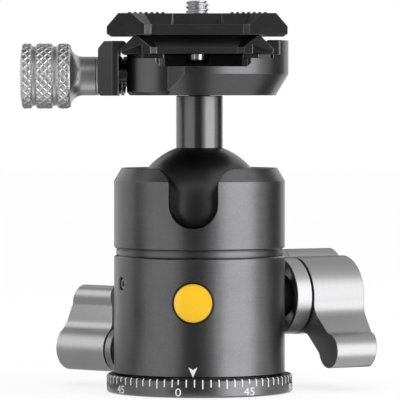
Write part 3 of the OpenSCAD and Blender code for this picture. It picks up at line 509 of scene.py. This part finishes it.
def cutSlot(piece, origin, low):
    # the cutter is longer than the head and starts below it
    half, deep, reach, below = cameraScrew["slotHalf"], cameraScrew["slotDeep"], 20 * mm, 2 * mm
    mesh = bpy.data.meshes.new("slotCutter")
    corners = [(x, y, z) for x in (-half, half) for y in (-reach, reach) for z in (low - below, low + deep)]
    quads = [(0, 1, 3, 2), (4, 6, 7, 5), (0, 4, 5, 1), (2, 3, 7, 6), (0, 2, 6, 4), (1, 5, 7, 3)]
    mesh.from_pydata([Vector(corner) + Vector((origin.x, origin.y, 0)) for corner in corners], [], quads)
    cutter = bpy.data.objects.new("slotCutter", mesh)
    bpy.context.scene.collection.objects.link(cutter)
    cut = piece.modifiers.new("slot", "BOOLEAN")
    cut.operation = "DIFFERENCE"
    cut.object = cutter
    cut.solver = "EXACT"
    depsgraph = bpy.context.evaluated_depsgraph_get()
    result = bpy.data.meshes.new_from_object(piece.evaluated_get(depsgraph))
    piece.modifiers.clear()
    piece.data = result
    bpy.data.objects.remove(cutter)


makeCameraScrew()
print("camera screw made")


# end of the set screw that guides the cup, just under the housing's wall
setScrew = {
    "profile": [(22.25, 0.02), (22.25, 0.72), (22.8, 0.72),     # mm from the housing's axis, and radius
                (22.95, 0.84), (22.95, 1.24), (22.78, 1.46), (22.22, 1.46)],
    "segments": 48,
    "look": dict(steel, dark=(0.20, 0.20, 0.204), light=(0.28, 0.28, 0.284)),
}


def makeSetScrew():
    centre = centreOf("guide_screw")
    outward = Vector((centre.x, centre.y, 0)).normalized()
    origin, segments = Vector((0, 0, centre.z)), setScrew["segments"]
    profile = [(along * mm, radius * mm) for along, radius in setScrew["profile"]]
    verts, faces = turnedPiece(profile, origin, outward, segments)
    closeEnds(verts, faces, segments, len(profile), origin + outward * profile[0][0],
              origin + outward * profile[-1][0])
    material = finishFrom("setScrewSteel", setScrew["look"])
    sharpen(pieceFrom("guideScrewEnd", verts, faces, material, "housing"), 35)


makeSetScrew()
print("set screw made")


# scale, numerals and index arrow on the base
scale = {
    "zero": -13.0,                                          # degrees from the front
    "seam": 1.25,                                           # the printed strip closes up left of its zero
    "numeralHeight": 2.1 * mm,
    "numeralBase": 0.45 * mm,                               # above the base's lower face
    "digitShare": 0.70,                                     # of a font's size that a digit takes up
    "tickWidth": 0.34 * mm,
    "edge": 0.40 * mm,                                      # the ring's chamfer, which the marks run over
    "atNumeral": 0.9 * mm,                                  # lengths below the chamfer
    "every5": 1.6 * mm,
    "every15": 2.05 * mm,
    "numeralWide": 1.22,
    "lift": 0.03 * mm,
    "sink": 0.01 * mm,                                      # the paint starts just under the surface
    "numerals": {0: "0", 45: "45", -45: "45", 90: "90", -90: "90", 135: "135", -135: "135", 180: "180"},
    "arrow": {"turn": -4.3, "low": 5.3 * mm, "high": 8.1 * mm, "half": 1.2 * mm, "hollow": 0.75 * mm},
}
ringLow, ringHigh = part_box("base_plate")
ringRadius, ringTop = ringHigh.x, ringHigh.z


def onRing(radius, degrees, height):
    # positive degrees turn to the right, seen from the front
    turn = math.radians(degrees)
    return Vector((radius * math.sin(turn), -radius * math.cos(turn), height))


def scaleTurn(mark):
    return scale["zero"] + mark + (scale["seam"] if mark < 0 else 0)


def addSlab(verts, faces, outline, radius):
    # outline holds (degrees, height) points; the paint has a little thickness
    start, count = len(verts), len(outline)
    for lift in (-scale["sink"], scale["lift"]):
        verts.extend(onRing(radius + lift, degrees, z) for degrees, z in outline)
    faces.append([start + count + i for i in range(count)])
    for i in range(count):
        j = (i + 1) % count
        faces.append([start + i, start + j, start + count + j, start + count + i])


def tickLength(mark):
    if mark % 45 == 0:
        return scale["atNumeral"]
    return scale["every15"] if mark % 15 == 0 else scale["every5"]


def makeTicks():
    verts, faces = [], []
    half, edge = math.degrees(scale["tickWidth"] / 2 / ringRadius), scale["edge"]
    for mark in range(-180, 180, 5):
        at, start = scaleTurn(mark), len(verts)
        # up the side, then over the chamfer
        line = [(ringRadius, ringTop - edge - tickLength(mark)), (ringRadius, ringTop - edge),
                (ringRadius - edge, ringTop)]
        for lift in (-scale["sink"], scale["lift"]):
            for radius, z in line:
                verts += [onRing(radius + lift, at + side, z + lift) for side in (-half, half)]
        for a in (0, 2):
            faces.append([start + 6 + a, start + 7 + a, start + 9 + a, start + 8 + a])
            faces += [[start + a, start + 2 + a, start + 8 + a, start + 6 + a],
                      [start + 1 + a, start + 7 + a, start + 9 + a, start + 3 + a]]
    pieceFrom("scaleTicks", verts, faces, markPaint, "base", smooth=False)


def makeNumeral(text, mark):
    curve = bpy.data.curves.new("numeral", "FONT")
    curve.body = text
    curve.size = scale["numeralHeight"] / scale["digitShare"]
    curve.align_x = "CENTER"
    curve.align_y = "BOTTOM_BASELINE"
    curve.extrude = scale["lift"] / 2
    curve.resolution_u = 6
    holder = bpy.data.objects.new("numeral", curve)
    bpy.context.scene.collection.objects.link(holder)
    depsgraph = bpy.context.evaluated_depsgraph_get()
    mesh = bpy.data.meshes.new_from_object(holder.evaluated_get(depsgraph))
    bpy.data.objects.remove(holder)
    base = ringLow.z + scale["numeralBase"]
    for vert in mesh.vertices:
        x, y, z = vert.co
        turn = scaleTurn(mark) + math.degrees(x * scale["numeralWide"] / ringRadius)
        vert.co = onRing(ringRadius + z, turn, base + y)
    mesh.materials.clear()
    mesh.materials.append(markPaint)
    side = "Right" if mark > 0 else "Left" if mark < 0 else "Zero"
    numeral = bpy.data.objects.new("numeral" + side + str(abs(mark)), mesh)
    bpy.context.scene.collection.objects.link(numeral)
    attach(numeral, "base")


def makeArrow():
    # arrowhead that points down to the scale, with a hollow top
    arrow = scale["arrow"]
    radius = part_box("lower_housing")[1].x
    side = math.degrees(arrow["half"] / radius)
    verts, faces = [], []
    middle = (arrow["turn"], arrow["high"] - arrow["hollow"])
    for sign in (-1, 1):
        corner = (arrow["turn"] + sign * side, arrow["high"])
        addSlab(verts, faces, [(arrow["turn"], arrow["low"]), corner, middle], radius)
    pieceFrom("indexArrow", verts, faces, markPaint, "housing", smooth=False)


makeTicks()
for mark, text in scale["numerals"].items():
    makeNumeral(text, mark)
makeArrow()
print("scale, numerals and index made")


# studio: white paper all round, a large soft box on the right and dark cards for contrast
studio = {
    "floorSize": 6.0,
    "floorGlow": 0.8,                                       # share of the floor that is plain white paper
    "aim": Vector((0, 0, 60 * mm)),
    "diffuseLevel": 0.42,                                   # what the paper gives to matt surfaces
    "lamps": {
        "rightBox": dict(azimuth=54, distance=1.15, height=0.16, size=(1.10, 1.5), power=13.2),
        "leftBox": dict(azimuth=-50, distance=1.15, height=0.16, size=(0.85, 1.5), power=0.6),
    },
    "overhead": dict(strength=2.0, spread=70, tilt=12),     # soft light from above, W per square metre
    "cards": {                                              # from, to (degrees), grey, reach, top
        "frontCard": (-24, 14, 0.09, 1.45, 1.35),
        "leftCard": (-98, -80, 0.05, 1.45, 0.20),
        "leftFloorCard": (-163, -96, 0.32, 0.20, 0),
        "rightCard": (102, 140, 0.10, 1.45, 1.35),
        "backCard": (172, 196, 0.12, 1.45, 1.35),
    },
    "ceiling": dict(height=1.2, x=(-1.15, 0.4), y=(-0.9, 1.0), grey=0.10),
}


def makeLamp(name, look):
    turn = math.radians(look["azimuth"])
    place = Vector((look["distance"] * math.sin(turn), -look["distance"] * math.cos(turn), look["height"]))
    lamp = bpy.data.lights.new(name, "AREA")
    lamp.shape = "RECTANGLE"
    lamp.size, lamp.size_y = look["size"]
    lamp.energy = look["power"]
    holder = bpy.data.objects.new(name, lamp)
    bpy.context.scene.collection.objects.link(holder)
    holder.location = place
    holder.rotation_euler = (studio["aim"] - place).to_track_quat("-Z", "Y").to_euler()
    holder.visible_camera = False


def makeOverhead(look):
    lamp = bpy.data.lights.new("overhead", "SUN")
    lamp.energy = look["strength"]
    lamp.angle = math.radians(look["spread"])
    holder = bpy.data.objects.new("overhead", lamp)
    bpy.context.scene.collection.objects.link(holder)
    holder.rotation_euler = (math.radians(look["tilt"]), 0, 0)
    holder.visible_glossy = False


def showRays(tree):
    # one for what the camera, metal and glass see
    rays = tree.nodes.new("ShaderNodeLightPath").outputs
    seen = mathNode(tree, "MAXIMUM", rays["Is Camera Ray"], rays["Is Glossy Ray"])
    return mathNode(tree, "MAXIMUM", seen, rays["Is Transmission Ray"])


def makeWorld():
    world = bpy.data.worlds.new("studio")
    bpy.context.scene.world = world
    world.use_nodes = True
    tree = world.node_tree
    paper = tree.nodes["Background"]
    paper.inputs["Color"].default_value = (1, 1, 1, 1)
    level = tree.nodes.new("ShaderNodeMapRange")
    level.inputs["To Min"].default_value = studio["diffuseLevel"]
    level.inputs["To Max"].default_value = 1.0
    tree.links.new(showRays(tree), level.inputs["Value"])
    tree.links.new(level.outputs["Result"], paper.inputs["Strength"])


def makeFloor():
    half = studio["floorSize"] / 2
    corners = [(-half, -half, 0), (half, -half, 0), (half, half, 0), (-half, half, 0)]
    mesh = bpy.data.meshes.new("floor")
    mesh.from_pydata(corners, [], [(0, 1, 2, 3)])
    floor = bpy.data.objects.new("floor", mesh)
    bpy.context.scene.collection.objects.link(floor)
    floor.location.z = -0.0002
    material, tree, shader = startMaterial("floorPaper")
    shader.inputs["Base Color"].default_value = (0.9, 0.9, 0.9, 1)
    shader.inputs["Roughness"].default_value = 0.9
    shader.inputs["Specular IOR Level"].default_value = 0.1
    glow = tree.nodes.new("ShaderNodeEmission")
    glow.inputs["Color"].default_value = (1, 1, 1, 1)
    glow.inputs["Strength"].default_value = 1.0
    mix = tree.nodes.new("ShaderNodeMixShader")
    tree.links.new(mathNode(tree, "MULTIPLY", showRays(tree), studio["floorGlow"]), mix.inputs[0])
    tree.links.new(shader.outputs[0], mix.inputs[1])
    tree.links.new(glow.outputs[0], mix.inputs[2])
    tree.links.new(mix.outputs[0], tree.nodes["Material Output"].inputs["Surface"])
    mesh.materials.append(material)
    floor.visible_glossy = False                            # metal shows the white paper behind it instead


def makeCard(name, start, end, grey, reach, top):
    # lies on the floor and may stand up at its far edge, seen only in reflections
    profile = [(0.03, 0.0005), (reach, 0.0005)]
    if top:
        profile += [(reach + 0.05, 0.05), (reach + 0.05, top)]
    steps, rows = 10, len(profile)
    verts, faces = [], []
    for i in range(steps + 1):
        verts += [onRing(radius, start + (end - start) * i / steps, height) for radius, height in profile]
    for i in range(steps):
        for j in range(rows - 1):
            a, b = i * rows + j, (i + 1) * rows + j
            faces.append((a, b, b + 1, a + 1))
    hangCard(name, verts, faces, grey)


def makeCeiling(look):
    (west, east), (south, north), height = look["x"], look["y"], look["height"]
    verts = [(west, south, height), (east, south, height), (east, north, height), (west, north, height)]
    hangCard("ceilingCard", verts, [(0, 1, 2, 3)], look["grey"])


def hangCard(name, verts, faces, grey):
    mesh = bpy.data.meshes.new(name)
    mesh.from_pydata(verts, [], faces)
    card = bpy.data.objects.new(name, mesh)
    bpy.context.scene.collection.objects.link(card)
    material, _, shader = startMaterial(name + "Cloth")
    shader.inputs["Base Color"].default_value = (0.01, 0.01, 0.01, 1)
    shader.inputs["Roughness"].default_value = 0.9
    shader.inputs["Emission Color"].default_value = (1, 1, 1, 1)
    shader.inputs["Emission Strength"].default_value = grey
    mesh.materials.append(material)
    card.visible_camera = False
    card.visible_diffuse = False
    card.visible_shadow = False
    card.visible_transmission = False


def makeCamera():
    view = {"distance": 1058 * mm, "height": 81.3 * mm, "aside": 0.14 * mm, "dip": 1.56, "lens": 346.95}
    camera = bpy.data.cameras.new("camera")
    camera.lens = view["lens"]
    camera.sensor_width = 36
    camera.clip_start = 0.05
    holder = bpy.data.objects.new("camera", camera)
    bpy.context.scene.collection.objects.link(holder)
    holder.location = (view["aside"], -view["distance"], view["height"])
    holder.rotation_euler = (math.radians(90 - view["dip"]), 0, 0)
    bpy.context.scene.camera = holder


for name, look in studio["lamps"].items():
    makeLamp(name, look)
makeOverhead(studio["overhead"])
for name, card in studio["cards"].items():
    makeCard(name, *card)
makeCeiling(studio["ceiling"])
makeWorld()
makeFloor()
makeCamera()
bpy.context.scene.view_settings.view_transform = "Standard"
print("studio made")
